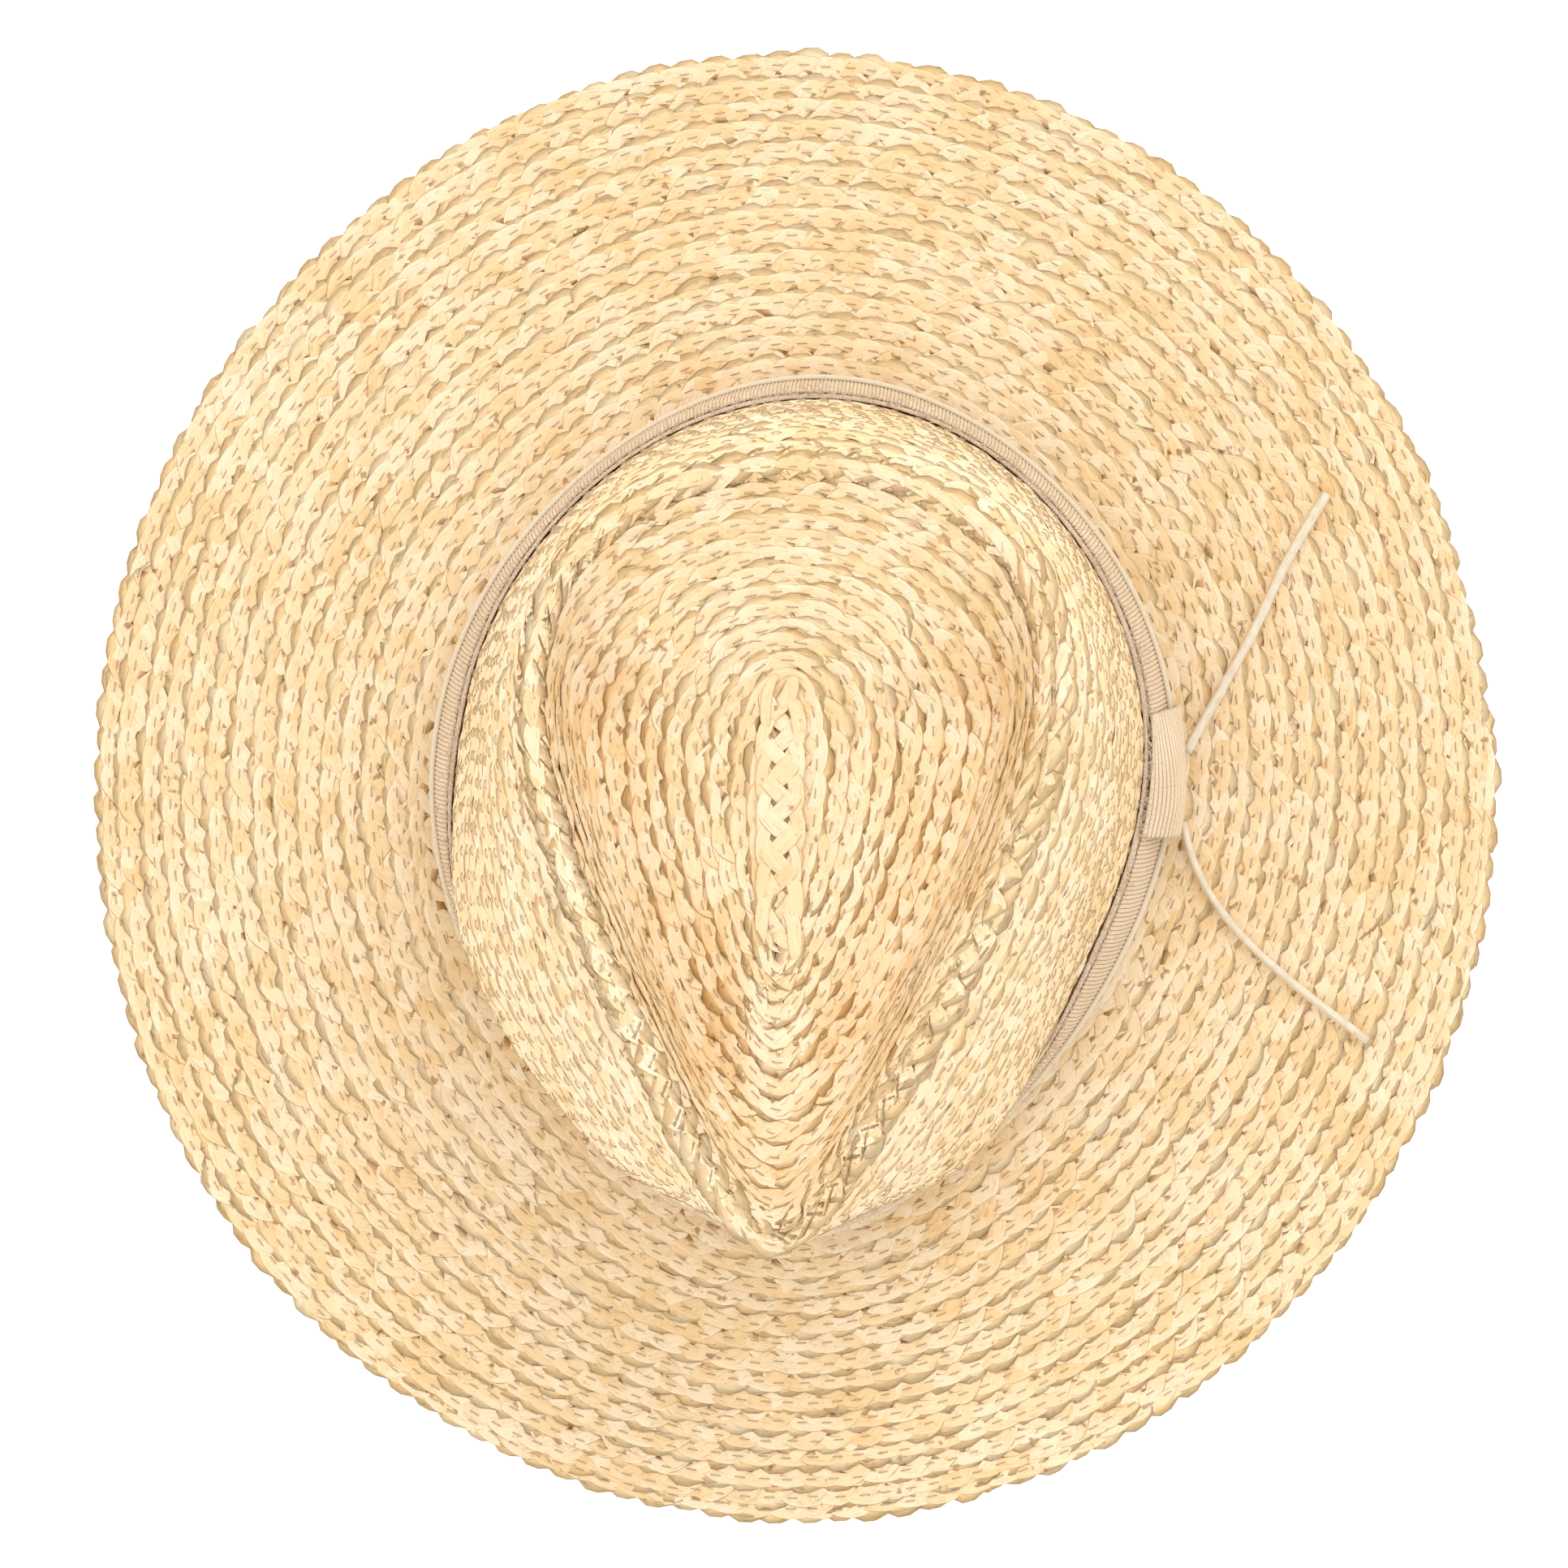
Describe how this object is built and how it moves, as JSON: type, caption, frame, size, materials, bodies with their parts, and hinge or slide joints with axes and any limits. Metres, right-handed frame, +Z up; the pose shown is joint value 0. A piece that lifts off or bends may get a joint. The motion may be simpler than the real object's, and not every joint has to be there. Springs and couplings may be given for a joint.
{
  "type": "fedora hat",
  "caption": "Wide-brimmed fedora of sewn raffia plait with a pinched teardrop crown, frayed canvas and grosgrain bands, keeper and thin lace.",
  "frame": {"origin": "middle of the brim's outline, on the plane that the brim's underside rests on", "axes": "+Z up through the crown; +Y towards the back of the hat, so the wearer looks along -Y; +X to the wearer's left"},
  "size_m": [0.3378, 0.3536, 0.1189],
  "materials": {
    "raffia": "plaited raffia, low sheen",
    "ribbon": "ribbed grosgrain",
    "canvas": "coarse canvas with a frayed edge",
    "lace": "smooth pale lace",
    "thread": "sewing thread",
    "sweatband": "soft cotton twill"
  },
  "bodies": {
    "root": {"crown": "raffia", "brim": "raffia", "sweatband": "sweatband", "sweatband_join_tape": "sweatband", "band_underlay": "canvas", "band_ribbon": "ribbon", "band_keeper": "ribbon", "lace_loop": "lace", "lace_tail_back": "lace", "lace_tail_front": "lace", "band_tack_1": "thread", "band_tack_2": "thread", "band_tack_3": "thread", "band_tack_4": "thread"}
  },
  "joints": []
}
